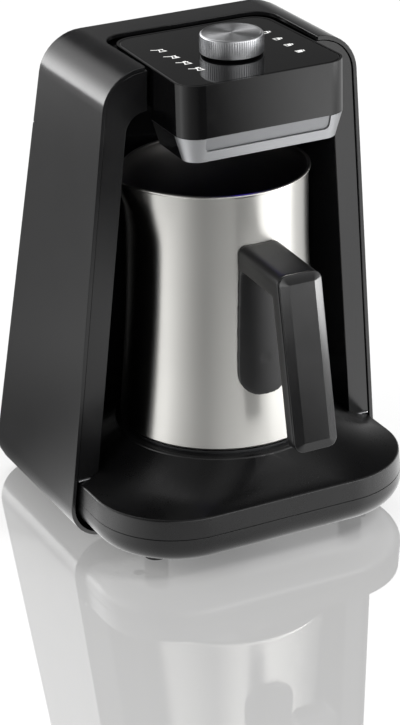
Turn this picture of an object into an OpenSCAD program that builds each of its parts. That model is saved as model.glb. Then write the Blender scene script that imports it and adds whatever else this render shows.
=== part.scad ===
// Electric Turkish coffee maker: leaning sleeve, open brewing bay, round heater
// plinth, control head with a turning knob, and a lift-out steel pot.
// Millimetres. +Z up, +X right, the front faces -Y, rests on its feet at Z = 0.

/* [Shell] */
// height of the shell's flat top above the table
body_h = 275; // [262:1:290]
// width of the shell, its sides run down to the table plane
body_w = 196; // [188:1:206]
// depth of the shell, measured at the table plane
body_d = 104; // [98:1:114]
// inward lean of each side
side_lean = 5.15; // [4:0.05:6]
// forward lean of the front edge
front_lean = 4.2; // [3.5:0.1:5]
// forward lean of the rear edge
rear_lean = 10.1; // [9:0.1:10.6]
// thickness of the shell
shell_wall = 2.4; // [2:0.1:2.8]
// radius of the two top corners
top_r = 24; // [18:1:28]
// radius of the two bottom corners
bottom_r = 20; // [17:1:21]
// height of the shell's underside above the table
shell_lift = 1; // [0.6:0.1:2]

/* [Base] */
// width of the base platform
base_w = 182; // [176:1:183]
// how far the platform stands out ahead of the pot axis
base_reach = 76.7; // [76:0.1:84]
// height of the platform's top face
base_top_z = 37.5; // [36:0.5:39]
// height of the seam between platform cover and tray
base_seam_z = 26; // [25:0.5:28]
// height of the tray's underside above the table
tray_z = 10; // [8:0.5:11]
// outward lean of the platform's sides towards the table
base_draft = 4; // [2:0.1:4.5]
// plan radius of the two front corners
base_corner_r = 48; // [40:1:50]
// radius of the tray's lower edge
base_edge_r = 12; // [8:0.5:13]
// wall thickness of the platform cover and the tray
base_wall = 2.5; // [2:0.1:3]
// diameter of a rubber foot
foot_d = 13; // [10:0.5:14]

/* [Heater] */
// diameter of the plinth under the pot
plinth_d = 121; // [120:0.5:122]
// height of the plinth's rim above the table
plinth_z = 58.5; // [57.5:0.5:59]
// how hollow the slope between the plinth and the platform's edge is, 1 is straight
slope_bend = 1.7; // [1.2:0.1:2.2]
// diameter of the heater plate
heater_d = 112; // [108:0.5:113]
// height of the heater plate's upper face
heater_z = 60; // [59.5:0.1:61]
// thickness of the heater plate
heater_t = 3; // [2.5:0.5:3.5]
// diameter of the heater's round tube
element_d = 7; // [5:0.5:7]

/* [Bay] */
// half width of the bay's mouth at the table plane
bay_w = 82.8; // [80:0.1:83]
// how far the bay's ceiling lies below the shell's top
bay_drop = 25; // [24:0.5:28]
// radius of the bay's two top corners
bay_r = 12; // [8:1:16]
// distance of the bay's back wall from the pot axis, at the table plane
bay_back = 63.8; // [63:0.1:66]
// forward lean of the bay's back wall
bay_lean = 2.7; // [2:0.1:3]
// thickness of the bay's walls
bay_wall = 2; // [1.6:0.1:2.4]

/* [Head] */
// width of the head at its front
head_w = 97; // [92:1:99]
// width of the head at its rear end
head_rear_w = 91.6; // [88:0.2:93]
// how far the head stands out ahead of the pot axis
head_reach = 63.7; // [60:0.1:70]
// how far the head reaches back behind the pot axis
head_back = 30.9; // [28:0.1:33]
// how far the head's upper edge lies below the shell's top
head_drop = 1.3; // [1:0.1:3]
// height of the head's gloss side
head_h = 28.3; // [27.8:0.1:29.5]
// plan radius of the head's corners
head_r = 12.5; // [9:0.5:14]
// wall thickness of the head
head_wall = 2.4; // [2:0.1:2.8]
// height of the metal trim under the head
trim_h = 13.7; // [11:0.1:15]
// how far the trim draws in towards its lower edge
trim_in = 4; // [3:0.1:5]
// width of the plate set into the trim's front
plate_w = 72; // [60:0.5:74]
// height of that plate's lower edge above the trim's lower edge
plate_up = 5.9; // [4:0.1:8]

/* [Knob] */
// diameter of the knob
knob_d = 34; // [28:0.5:38]
// height of the knob itself
knob_h = 10.5; // [9.5:0.1:14]
// distance of the knob's axis ahead of the pot axis
knob_y = 22.5; // [18:0.5:26]
// travel of the knob when it is pressed
press_travel = 0.7; // [0.4:0.1:0.9]

/* [Pot] */
// diameter at the pot's foot
pot_foot_d = 114; // [106:0.5:116]
// diameter at the pot's waist
pot_waist_d = 100; // [92:0.5:101]
// diameter over the rolled rim
pot_rim_d = 103; // [96:0.5:104]
// height of the pot
pot_h = 145.3; // [135:0.1:147]
// height of the waist above the pot's foot
waist_h = 105; // [95:1:115]
// wall thickness of the pot
pot_wall = 1.2; // [1:0.1:1.5]
// reach of the pouring lip from the pot axis
spout_reach = 58; // [55:0.5:59]

/* [Handle] */
// width of the grip
grip_w = 25; // [22:0.5:27]
// length of the grip
grip_l = 95.4; // [88:0.2:98]
// distance of the grip's seam from the pot axis, at its top end
grip_reach = 93; // [90:0.5:98]
// outward lean of the grip
grip_lean = 10.4; // [8:0.1:12]
// depth of the grip behind the seam
grip_depth = 10; // [8:0.5:12]
// thickness of the grip's front cover
cover_t = 3.2; // [2.8:0.1:4]
// width of the bevels along the cover's two long sides
side_bevel = 5; // [3.5:0.1:6]
// length of the bevels at the cover's two ends
end_bevel = 5.6; // [3.5:0.1:7]
// depth of the cover's bevels
bevel_depth = 1.5; // [1:0.1:2.2]
// height of the grip's top end above the pot's foot
grip_top = 114.7; // [110:0.1:118]
// width of the mounting plate at its top
plate_w1 = 23; // [20:0.5:25]
// width of the mounting plate near its lower end
plate_w2 = 31.5; // [28:0.5:36]
// height of the plate's lower end above the pot's foot
plate_low = 31; // [26:0.1:36]

/* [Rear] */
// depth of the rear cover behind the shell
cover_d = 6; // [5:0.5:7]
// height of the rear cap
cap_h = 52; // [40:1:70]
// height of the cord inlet's centre
inlet_z = 30; // [28:1:40]
// distance of the cord inlet from the middle
inlet_x = 48; // [40:1:55]

/* [Hidden] */
$fn = 96;
gap = 0.3;            // clearance between two separate mouldings
edge_n = 10;          // steps in a drawn corner arc
far = 400;            // longer than anything here
screw_d = 3;          // thread of every case screw
screw_head = 5.6;
screw_l = 18;
screw_fit = 0.25;              // a thread's radius below its nominal size
screw_head_t = 1.3;
rear_screw_l = 14;
rear_head_in = 1.4;            // a rear screw's head below the cover's face
inlet_bore = 3.2;
inlet_neck = 5.9;
inlet_flange = 8;
inlet_in = 4;                  // from the rear cover's face to the inlet's inner end
inlet_out = 2;
inlet_rim = 1.5;
spout_r = 4;
spout_low = 60;                // the lip's hollow ends this far below the rim
spout_half = 22;
spout_root = 30;
spout_drop = 34;
lip_t = 1.4;
bay_z = body_h - bay_drop;     // the bay's ceiling
head_top = body_h - head_drop;
head_z = head_top - head_h;    // the head's lower edge
cap_z = body_h - cap_h;        // seam between rear cover and rear cap
side_t = tan(side_lean);
front_t = tan(front_lean);
rear_t = tan(rear_lean);
front0 = -3.3;        // front edge of the shell at the table plane
y_front = -(grip_reach + (grip_l - end_bevel) * sin(grip_lean))
    - (gap / 2 + cover_t) * cos(grip_lean);
y_rear = front0 + body_d - (shell_lift + 0.6) * rear_t + cover_d;
y_mid = (y_front + y_rear) / 2;
base_t = tan(base_draft);
post_z = base_seam_z - 4;      // where the platform's posts meet the tray's
screw_z = tray_z + 4;          // seat of the screw heads in the tray
pot_z = heater_z + gap;
panel_t = 2;
inner_wall = shell_wall + 0.5;
bezel_in = 0.9;       // the bezel lies this far behind the shell's front edge
bezel_t = 3;
head_rear_z = bay_z + bay_wall + gap;
head_step = -(front0 - bay_z * front_t) + 0.6;   // the head's full height ends here
notch_half = head_w / 2 + 2;
notch_back = head_back + 4.8;
ledge_y = front0 - (body_h - 4) * front_t + bezel_in + bezel_t + gap;
board_z = head_rear_z + 4.4;
board_t = 1.6;
board_post = 32;
under_t = trim_in + 2.2;       // the closing panel's edge, drawn in from the head's side
under_z = 0.8;                 // height of that panel above the trim's lower edge
under_plate = 2;
window_r = 8;
window_t = 3.3;
encoder_h = 7;
shaft_r = 3;
bore_r = shaft_r + 0.1;
sensor_y = 44;                 // foam sensor, ahead of the pot axis
knob_z = head_top + press_travel + 0.5;
plunger_t = 2;
shaft_low = board_z + board_t + plunger_t + press_travel + 1.3;
element_gap = 12;     // the heater tube's ends stand this many degrees off the middle
element_leg = 14;
trim_z = head_z - 0.2;
trim_t = 1.8;
plate_thick = 1;
trim_low = trim_z - trim_h;
floor_y = front0 + body_d - base_top_z * rear_t - 7 - gap;   // rear end of the base
plinth_r = plinth_d / 2;
slope_r = plinth_r - 0.4;
slope_n = 4;
ledge_z = heater_z - heater_t - 1;
foot_x = base_w / 2 - base_corner_r + 18;
foot_y = base_reach - base_corner_r + 9.3;
post_x = base_w / 2 - 21;
post_y = [base_corner_r - base_reach - 6, floor_y - 28];
leg_x = base_w / 2 - 31;
leg_y = [front0 + 14, floor_y - 14];
rear_foot = [62, front0 + body_d - 21];
rear_screw_z = [inlet_z + 14, cap_z - 23];
rear_screw_in = 9;             // from the shell's outer face to a rear screw
plate_t = 3;
grip_z = pot_z + grip_top;
arm_h = 14;
stud_h = [52, 100];            // heights of the two studs welded to the pot
stud_r = 3;
stud_l = plate_t - 1.2;
stud_fit = 0.1;                // room round a stud in the handle
stud_room = 0.3;               // room past a stud's end
arm_tilt = 2.6;                // the arm rises towards the pot
vent_n = 7;
vent_z = 70;
vent_pitch = 9;
vent_w = 60;
power_y = 68;                  // front face of the power board
power_z = 70;
power_w = 84;
power_h = 80;
power_inset = 8;               // from the power board's edge to a post
relay_size = [19, 14, 15];
module_size = [34, 12, 22];
control_w = 76;
sensor_board = [28, 16, 1.6];
sensor_leg = 4.1;

// node to draw, or "all"

function unit(v) = v / norm(v);
// outline with every corner rounded: r = 0 keeps it sharp
function rounded(p, r) = [for (i = [0 : len(p) - 1])
    let (a = p[(i + len(p) - 1) % len(p)], b = p[i], c = p[(i + 1) % len(p)])
    each (r[i] <= 0 ? [b] : arc_at(a, b, c, r[i]))];
function arc_at(a, b, c, r) =
    let (u = unit(a - b), v = unit(c - b), h = acos(u * v) / 2,
         s = b + u * r / tan(h), m = b + unit(u + v) * r / sin(h),
         a0 = atan2(s[1] - m[1], s[0] - m[0]), e = b + v * r / tan(h),
         a1 = atan2(e[1] - m[1], e[0] - m[0]), d0 = a1 - a0,
         d = d0 > 180 ? d0 - 360 : (d0 < -180 ? d0 + 360 : d0))
    [for (k = [0 : edge_n]) m + r * [cos(a0 + d * k / edge_n), sin(a0 + d * k / edge_n)]];

function half_w(z) = body_w / 2 - z * side_t;
function front_y(z) = front0 - z * front_t;
function rear_y(z) = front0 + body_d - z * rear_t;
function back_y(z) = bay_back - z * tan(bay_lean);
function bay_half(z) = bay_w - z * side_t;

// front view of the shell, drawn in by t on every side
function shell_outline(t) =
    let (zb = shell_lift + t, zt = body_h - t, w = t / cos(side_lean))
    rounded([[-half_w(zb) + w, zb], [half_w(zb) - w, zb], [half_w(zt) - w, zt],
        [-half_w(zt) + w, zt]], [bottom_r - t, bottom_r - t, top_r - t, top_r - t]);
// front view of the bay, grown by t on every side, open below
function bay_outline(t, zb) =
    let (zt = bay_z + t, w = t / cos(side_lean))
    rounded([[-bay_half(zb) - w, zb], [bay_half(zb) + w, zb], [bay_half(zt) + w, zt],
        [-bay_half(zt) - w, zt]], [0, 0, bay_r + t, bay_r + t]);
// plan of the head, drawn in by t, between two distances ahead of the pot axis
function head_half(y) = head_rear_w / 2 + (head_w - head_rear_w) / 2 * (head_back - y)
    / (head_back + head_reach);
function head_outline(t, ys) =
    rounded([[-head_half(-head_reach) + t, -head_reach + t], [head_half(-head_reach) - t,
        -head_reach + t], [head_half(ys) - t, ys - t], [-head_half(ys) + t, ys - t]],
        [head_r - t, head_r - t, ys > 0 ? head_r - t : 0, ys > 0 ? head_r - t : 0]);

// (x, z) outline drawn out along Y from y0 to y1
module along_y(p, y0, y1) {
    translate([0, y1, 0]) rotate([90, 0, 0]) linear_extrude(y1 - y0) polygon(p);
}
// (y, z) outline drawn out along X, w wide and centred
module along_x(p, w) {
    rotate([90, 0, 90]) linear_extrude(w, center = true) polygon(p);
}
// slab between two lines that lean with the front edge
module front_slab(d0, d1) {
    along_x([[front_y(0) + d0, 0], [front_y(0) + d1, 0], [front_y(far) + d1, far],
        [front_y(far) + d0, far]], far);
}
// slab between two lines that lean with the rear edge
module rear_slab(d0, d1) {
    along_x([[rear_y(0) + d0, 0], [rear_y(0) + d1, 0], [rear_y(far) + d1, far],
        [rear_y(far) + d0, far]], far);
}
module upright(x, y, z0, z1, r) {
    translate([x, y, z0]) cylinder(r = r, h = z1 - z0);
}
// puts a piece into the shared frame
module place() {
    translate([0, -y_mid, 0]) children();
}

module outer_shell() {
    place() color("#3e3e40") difference() {
        union() {
            difference() {
                intersection() {
                    along_y(shell_outline(0), -far / 2, far / 2);
                    along_x([[front_y(0), 0], [rear_y(0), 0], [rear_y(far), far], [front_y(far), far]],
                        far);
                }
                along_y(shell_outline(shell_wall), -far / 2, far / 2);
            }
            // bosses for the rear cover's screws, each webbed to its side wall
            for (s = [-1, 1], z = rear_screw_z) {
                x = half_w(z) - rear_screw_in;
                translate([s * x, rear_y(z) - 22, z]) rotate([-90, 0, 0])
                    cylinder(r = 4, h = 22 + cover_d - 2.4 - gap - 5 * rear_t);
                translate([s > 0 ? x : -x - rear_screw_in + 1.2, rear_y(z) - 22, z - 1.5])
                    cube([rear_screw_in - 1.2, 12, 3]);
            }
        }
        for (s = [-1, 1], z = rear_screw_z) translate([s * (half_w(z) - rear_screw_in),
            rear_y(z) - 12, z]) rotate([-90, 0, 0]) cylinder(r = screw_d / 2 - 0.2, h = 40);
        // notch that takes the head
        translate([0, 0, body_h - 12]) linear_extrude(20) polygon(rounded(
            [[-notch_half, -far], [notch_half, -far], [notch_half, notch_back],
            [-notch_half, notch_back]], [0, 0, head_r + 1.5, head_r + 1.5]));
    }
}

module inner_housing() {
    low = base_top_z + gap;
    place() color("#2b2b2d") difference() {
        union() {
            // bezel that closes the shell's front end
            intersection() {
                along_y(shell_outline(inner_wall), -far / 2, far / 2);
                front_slab(bezel_in, bezel_in + bezel_t);
                translate([-far / 2, -far / 2, low]) cube([far, far, far]);
            }
            // walls, ceiling and back of the bay
            intersection() {
                along_y(bay_outline(bay_wall, low), -far / 2, far / 2);
                along_x([[front_y(low) + bezel_in, low], [back_y(low) + bay_wall, low],
                    [back_y(far) + bay_wall, far], [front_y(far) + bezel_in, far]], far);
            }
            // posts for the power board
            for (s = [-1, 1], z = [power_z + power_inset, power_z + power_h - power_inset])
                translate([s * (power_w / 2 - power_inset), back_y(z) + bay_wall / 2, z])
                    rotate([-90, 0, 0]) cylinder(r = 3, h = power_y - back_y(z) - bay_wall / 2);
        }
        intersection() {
            along_y(bay_outline(0, low - 1), -far / 2, far / 2);
            along_x([[-far / 2, 0], [back_y(0), 0], [back_y(far), far], [-far / 2, far]], far);
        }
        // the head passes through here
        translate([-head_w / 2 - 0.4, -far / 2, head_z - 0.4]) cube([head_w + 0.8, far / 2 - 8, far]);
    }
}

module rear_piece() {
    difference() {
        union() {
            intersection() {
                along_y(shell_outline(0.6), -far / 2, far / 2);
                rear_slab(0.2, cover_d);
            }
            intersection() {
                along_y(shell_outline(shell_wall + gap), -far / 2, far / 2);
                rear_slab(-7, 1);
            }
        }
        intersection() {
            along_y(shell_outline(shell_wall + gap + 2), -far / 2, far / 2);
            rear_slab(-20, cover_d - 2.4);
        }
    }
}

module rear_cover() {
    place() color("#343436") difference() {
        rear_piece();
        translate([-far / 2, -far / 2, cap_z - 0.2]) cube(far);
        for (i = [0 : vent_n - 1]) translate([-vent_w / 2, 0, vent_z + i * vent_pitch])
            cube([vent_w, far, vent_pitch / 3]);
        inlet_frame() translate([0, 0, -12]) cylinder(r = inlet_neck + 0.2, h = 40);
        for (s = [-1, 1], z = rear_screw_z) translate([s * (half_w(z) - rear_screw_in), 0, z])
            rotate([-90, 0, 0]) cylinder(r = screw_d / 2 + 0.2, h = far);
        for (s = [-1, 1], z = rear_screw_z) translate([s * (half_w(z) - rear_screw_in),
            rear_y(z) + cover_d - rear_head_in, z]) rotate([-90, 0, 0])
            cylinder(r = screw_head / 2 + 0.3, h = 20);
    }
}

module rear_cap() {
    place() color("#343436") difference() {
        rear_piece();
        translate([-far / 2, -far / 2, cap_z + 0.2 - far]) cube(far);
    }
}

// half profile of the platform: w is its half width at the top face's height
function lean(z) = (base_top_z - z) * base_t;
function base_edge(w, z0, z1, rb, rt) = concat(
    [[0, z1]], [[0, z0]],
    [for (k = [0 : edge_n]) [w + lean(z0 + rb) - rb + rb * sin(90 * k / edge_n),
        z0 + rb - rb * cos(90 * k / edge_n)]],
    [for (k = [0 : 3]) [w + lean(z1 - rt) - rt + rt * cos(30 * k), z1 - rt + rt * sin(30 * k)]]);

// platform body: two round corners, the front between them, and the straight part behind
module base_block(t, z0, z1, rb, rt) {
    cr = base_corner_r - t;
    cx = base_w / 2 - base_corner_r;
    cy = base_corner_r - base_reach;
    p = base_edge(cr, z0, z1, rb, rt);
    translate([cx, cy, 0]) rotate([0, 0, -90]) rotate_extrude(angle = 90) polygon(p);
    translate([-cx, cy, 0]) rotate([0, 0, 180]) rotate_extrude(angle = 90) polygon(p);
    translate([cx, cy, 0]) rotate([90, 0, -90]) linear_extrude(2 * cx)
        polygon(concat([[-5, z1], [-5, z0]], [for (i = [2 : len(p) - 1]) p[i]]));
    e = base_edge(base_w / 2 - t, z0, z1, rb, rt);
    n = len(e);
    along_y(concat([for (i = [2 : n - 1]) e[i]], [for (i = [n - 1 : -1 : 2]) [-e[i][0], e[i][1]]]),
        cy, floor_y - t);
}

// level outline of the slope at share t of the way from the platform's edge to the plinth
function slope_outline(t) =
    let (w = (1 - t) * (base_w / 2 - 0.8) + t * slope_r, f = (1 - t) * (base_reach - 0.8) + t * slope_r,
         b = (1 - t) * (plinth_r + 14) + t * slope_r, r = (1 - t) * (base_corner_r - 0.8) + t * slope_r)
    rounded([[-w, -f], [w, -f], [w, b], [-w, b]], [r, r, r, r] - [0.01, 0.01, 0.01, 0.01]);
function slope_z(t) = base_top_z - 0.05 + (plinth_z - 1 - base_top_z) * pow(t, slope_bend);

// hollow slope that climbs to the plinth, clear of the bay's walls
module plinth_slope() {
    intersection() {
        for (k = [0 : slope_n - 1]) hull() {
            translate([0, 0, base_top_z - base_wall]) linear_extrude(
                slope_z(k / slope_n) - base_top_z + base_wall) polygon(slope_outline(k / slope_n));
            translate([0, 0, slope_z((k + 1) / slope_n) - 0.5]) linear_extrude(0.5)
                polygon(slope_outline((k + 1) / slope_n));
        }
        union() {
            along_x([[-far, 0], [front_y(0) + bezel_in - gap, 0], [front_y(far) + bezel_in - gap, far],
                [-far, far]], far);
            intersection() {
                along_y(bay_outline(-gap, 1), -far / 2, far / 2);
                along_x([[-far, 0], [back_y(0) - gap, 0], [back_y(far) - gap, far], [-far, far]], far);
            }
        }
    }
}

module base_top() {
    place() color("#262627") difference() {
        union() {
            base_block(0, base_seam_z, base_top_z, 0.01, 1.2);
            plinth_slope();
            rotate_extrude() polygon([[0, base_top_z - base_wall], [plinth_r, base_top_z - base_wall],
                [plinth_r, plinth_z - 0.8], [plinth_r - 0.8, plinth_z], [0, plinth_z]]);
            for (x = [-1, 1], y = post_y) upright(x * post_x, y, post_z, base_top_z - 1, 4);
        }
        difference() {
            base_block(base_wall, base_seam_z - 1, base_top_z - base_wall, 0.01, 0.5);
            for (x = [-1, 1], y = post_y) upright(x * post_x, y, 0, base_top_z, 4);
        }
        upright(0, 0, base_seam_z - 1, ledge_z - 3, plinth_r - 3);
        rotate_extrude() polygon([[0, base_top_z - base_wall - 1], [plinth_r + 5, base_top_z - base_wall - 1],
            [plinth_r - 3, ledge_z - 5], [0, ledge_z - 5]]);
        upright(0, 0, base_seam_z - 1, heater_z + 1, heater_d / 2 - 5);
        upright(0, 0, ledge_z, heater_z + 1, heater_d / 2 + 0.2);
        for (x = [-1, 1], y = post_y) upright(x * post_x, y, 0, screw_z + 19, screw_d / 2 - 0.2);
    }
}

module base_tray() {
    place() color("#3a3a3c") difference() {
        union() {
            base_block(0, tray_z, base_seam_z - gap, base_edge_r, 0.3);
            // legs that stand on the shell's floor
            for (x = [-1, 1], y = leg_y) upright(x * leg_x, y, shell_lift + shell_wall + gap / 2,
                tray_z + 1, 5);
        }
        difference() {
            base_block(base_wall, tray_z + base_wall, base_seam_z + 1, base_edge_r - base_wall, 0.3);
            for (x = [-1, 1], y = post_y) upright(x * post_x, y, 0, post_z - gap / 2, 6);
        }
        for (x = [-1, 1], y = post_y) {
            upright(x * post_x, y, -1, base_seam_z, screw_d / 2 + 0.2);
            upright(x * post_x, y, -1, screw_z, screw_head / 2 + 0.3);
        }
    }
}

module feet() {
    place() color("#161616") for (s = [-1, 1]) {
        upright(s * foot_x, -foot_y, 0, tray_z, foot_d / 2);
        upright(s * rear_foot[0], rear_foot[1], 0, shell_lift, foot_d / 2);
    }
}

module heater_plate() {
    place() color("#8d8f92") upright(0, 0, heater_z - heater_t, heater_z, heater_d / 2);
}

module heater_seal() {
    place() color("#202020") difference() {
        upright(0, 0, ledge_z, heater_z - heater_t, heater_d / 2);
        upright(0, 0, ledge_z - 1, heater_z, heater_d / 2 - 5);
    }
}

module heater_element() {
    r = heater_d * 0.32;
    place() color("#9a9a98") translate([0, 0, heater_z - heater_t - 0.1 - element_d / 2]) {
        rotate([0, 0, element_gap]) rotate_extrude(angle = 360 - 2 * element_gap) translate([r, 0])
            circle(d = element_d);
        for (s = [-1, 1]) rotate([0, 0, s * (element_gap + 6)]) upright(r, 0, -element_leg, 0, element_d / 2 - 1);
    }
}

module thermostat() {
    place() color("#c9c4b8") {
        upright(-14, 0, heater_z - heater_t - 9, heater_z - heater_t, 8);
    }
}

module temp_sensor() {
    place() color("#b0b0b0") upright(14, 0, heater_z - heater_t - 7, heater_z - heater_t, 4);
}

module head_shell() {
    place() color("#1b1b1c") difference() {
        union() {
            translate([0, 0, head_rear_z]) linear_extrude(head_top - head_rear_z)
                polygon(head_outline(0, head_back));
            translate([0, 0, head_z]) linear_extrude(head_rear_z - head_z + 1)
                polygon(head_outline(0, -head_step));
            // ledge that fills the notch around the head
            translate([0, 0, body_h - 6.5]) linear_extrude(2.5) polygon(rounded(
                [[-notch_half - 2, ledge_y], [notch_half + 2, ledge_y], [notch_half + 2, notch_back + 2],
                [-notch_half - 2, notch_back + 2]], [0, 0, head_r + 3, head_r + 3]));
        }
        difference() {
            translate([0, 0, head_rear_z + 2]) linear_extrude(head_top - panel_t - 0.2 - head_rear_z - 2)
                polygon(head_outline(head_wall + 0.6, head_back));
            for (s = [-1, 1]) upright(s * board_post, head_back - 14, 0, board_z, 3);
        }
        translate([0, 0, head_z - 1]) linear_extrude(head_rear_z - head_z + 4)
            polygon(head_outline(head_wall + 0.6, -head_step));
        translate([0, 0, head_top - panel_t - 0.3]) linear_extrude(panel_t + 1)
            polygon(head_outline(1.2, head_back));
        // gap for the wires that come up from behind the bay
        translate([-12, head_back - 16, head_rear_z - 1]) cube([24, 8, 4]);
    }
}

module touch_panel() {
    place() color("#0c0c0d") difference() {
        translate([0, 0, head_top - panel_t]) linear_extrude(panel_t) polygon(head_outline(1.4, head_back));
        upright(0, -knob_y, head_top - 5, head_top + 1, 4.8);
    }
}

// one ring of the trim's wall, from the head's left side round its front to its right side
function trim_ring(t, z) = let (o = head_outline(t, t - head_step), n = len(o))
    [for (i = [0 : n - 1]) [o[(i + n - 1) % n][0], o[(i + n - 1) % n][1], z]];

// tapered wall between four rings: top outside, foot outside, foot inside, top inside
module trim_wall() {
    r = [trim_ring(0, trim_z), trim_ring(trim_in, trim_low), trim_ring(trim_in + trim_t, trim_low),
        trim_ring(trim_t, trim_z)];
    n = len(r[0]);
    polyhedron(points = [for (k = r) each k], faces = [
        for (k = [0 : 3], i = [0 : n - 2]) let (a = k * n + i, b = (k + 1) % 4 * n + i)
            each [[a, b + 1, b], [a, a + 1, b + 1]],
        [0, n, 2 * n, 3 * n], [4 * n - 1, 3 * n - 1, 2 * n - 1, n - 1]], convexity = 4);
}

module trim_frame() {
    place() color("#a9aaac") difference() {
        trim_wall();
        // window for the recessed plate
        translate([-plate_w / 2 - gap / 2, -head_reach - 1, trim_low + plate_up - gap / 2])
            cube([plate_w + gap, 9, trim_h]);
    }
}

module trim_plate() {
    y0 = -head_reach + 0.8;
    k = trim_in / trim_h;
    z0 = trim_low + plate_up;
    place() color("#8f9092") along_x([[y0, trim_z], [y0 + plate_thick, trim_z],
        [y0 + plate_thick + k * (trim_z - z0), z0], [y0 + k * (trim_z - z0), z0]], plate_w);
}

module head_underside() {
    z0 = trim_low + under_z;
    place() color("#121213") difference() {
        union() {
            translate([0, 0, z0]) linear_extrude(under_plate)
                polygon(head_outline(under_t, under_t - head_step - 1));
            translate([12.5 - head_w / 2, -head_step - 3, z0]) cube([head_w - 25, 2, head_z - z0 - gap]);
            // posts that carry the board above
            for (x = [-board_post, board_post]) upright(x, -sensor_y, z0 + 1, board_z - gap / 2, 3);
        }
        upright(0, -sensor_y, z0 - 1, z0 + 4, window_r + 0.2);
        for (x = [-board_post, board_post]) upright(x, -sensor_y, z0 - 1, z0 + 6, 1.3);
    }
}

module sensor_window() {
    z0 = trim_low + under_z;
    place() color("#3a1f4a") {
        upright(0, -sensor_y, z0 + 0.2, z0 + under_plate + 0.1, window_r);
        upright(0, -sensor_y, z0 + under_plate + 0.1, z0 + window_t - 0.2, window_r + 1.4);
    }
}

module foam_sensor() {
    z0 = trim_low + under_z + window_t;
    place() color("#2f5d3a") {
        translate([-sensor_board[0] / 2, -sensor_y - sensor_board[1] / 2, z0 + sensor_leg - 0.1])
            cube(sensor_board);
        for (s = [-1, 1]) upright(s * 4, -sensor_y, z0, z0 + sensor_leg, 2.5);
    }
}

module control_board() {
    place() color("#1f4f33") difference() {
        translate([-control_w / 2, 8 - head_reach, board_z])
            cube([control_w, head_reach + head_back - 16, board_t]);
        upright(0, -knob_y, board_z - 1, board_z + board_t + 1, 1.2);
    }
}

module encoder_body() {
    z0 = board_z + board_t;
    place() color("#9b9b9b") difference() {
        union() {
            translate([-7, -knob_y - 7, z0]) cube([14, 14, encoder_h]);
            upright(0, -knob_y, z0 + encoder_h - 0.5, head_top - 0.6, 4.5);
        }
        upright(0, -knob_y, z0 + 1, head_top + 1, bore_r);
    }
}

module encoder_plunger() {
    place() color("#d8d8d8") upright(0, -knob_y, shaft_low - plunger_t - 0.02, shaft_low - 0.02, shaft_r - 0.1);
}

module encoder_shaft() {
    place() color("#c4c4c4") upright(0, -knob_y, shaft_low, knob_z + knob_h - 3.5, shaft_r);
}

module knob_hub() {
    place() color("#2a2a2a") difference() {
        upright(0, -knob_y, knob_z + 0.4, knob_z + knob_h - 2.1, knob_d / 2 - 1.9);
        upright(0, -knob_y, knob_z - 1, knob_z + knob_h - 3.4, shaft_r + 0.02);
    }
}

module knob() {
    place() color("#c7c8ca") translate([0, -knob_y, 0]) rotate_extrude() polygon([
        [knob_d / 2 - 1.8, knob_z], [knob_d / 2 - 0.3, knob_z], [knob_d / 2, knob_z + 0.3],
        [knob_d / 2, knob_z + knob_h - 0.6], [knob_d / 2 - 0.6, knob_z + knob_h], [0, knob_z + knob_h],
        [0, knob_z + knob_h - 2], [knob_d / 2 - 1.8, knob_z + knob_h - 2]]);
}

module buzzer() {
    place() color("#151515") difference() {
        upright(26, 6, board_z + board_t, board_z + board_t + 5, 6);
        upright(26, 6, board_z + board_t + 3, board_z + board_t + 6, 1);
    }
}

module power_board() {
    place() color("#3f6b2e") translate([-power_w / 2, power_y, power_z]) cube([power_w, board_t, power_h]);
}

module relay() {
    place() color("#1d4fa0") translate([6 - power_w / 2, power_y + board_t, power_z + 4]) cube(relay_size);
}

module power_module() {
    place() color("#1c1c1c") translate([2, power_y + board_t, power_z + 4]) cube(module_size);
}

// frame at the cord inlet: its Z axis leaves the rear cover's face at right angles
module inlet_frame() {
    translate([inlet_x, rear_y(inlet_z) + cover_d, inlet_z]) rotate([rear_lean - 90, 0, 0]) children();
}

module cord_inlet() {
    place() color("#1a1a1a") inlet_frame() difference() {
        union() {
            translate([0, 0, -inlet_in]) cylinder(r = inlet_neck, h = inlet_in + 1);
            translate([0, 0, 0.02]) cylinder(r = inlet_flange, h = inlet_out);
            translate([0, 0, -inlet_in]) cylinder(r = inlet_flange, h = inlet_rim);
        }
        translate([0, 0, -inlet_in - 1]) cylinder(r = inlet_bore, h = inlet_in + inlet_out + 2);
    }
}

module pan_screw(l) {
    cylinder(r = screw_d / 2 - screw_fit, h = l);
    translate([0, 0, -screw_head_t]) cylinder(r = screw_head / 2, h = screw_head_t);
}

module case_screws() {
    place() color("#8a8a8a") {
        for (x = [-1, 1], y = post_y) translate([x * post_x, y, screw_z]) pan_screw(screw_l);
        for (s = [-1, 1], z = rear_screw_z) translate([s * (half_w(z) - rear_screw_in),
            rear_y(z) + cover_d - rear_head_in, z]) rotate([90, 0, 0]) pan_screw(rear_screw_l);
    }
}

// outer half profile of the pot: height above the foot -> radius
function pot_r(h) =
    let (f = pot_foot_d / 2, w = pot_waist_d / 2, r = pot_rim_d / 2 - 1)
    h < waist_h ? w + (f - w) * pow(1 - h / waist_h, 1.6)
        : w + (r - w) * pow((h - waist_h) / (pot_h - waist_h), 2);
pot_steps = 14;
function pot_side(t, h0, h1) = [for (k = [0 : pot_steps])
    let (h = h0 + (h1 - h0) * k / pot_steps) [pot_r(h) + t, pot_z + h]];

module pot_solid(t, h0, h1) {
    rotate_extrude() polygon(concat([[0, pot_z + h0]], pot_side(t, h0, h1), [[0, pot_z + h1]]));
}

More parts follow.
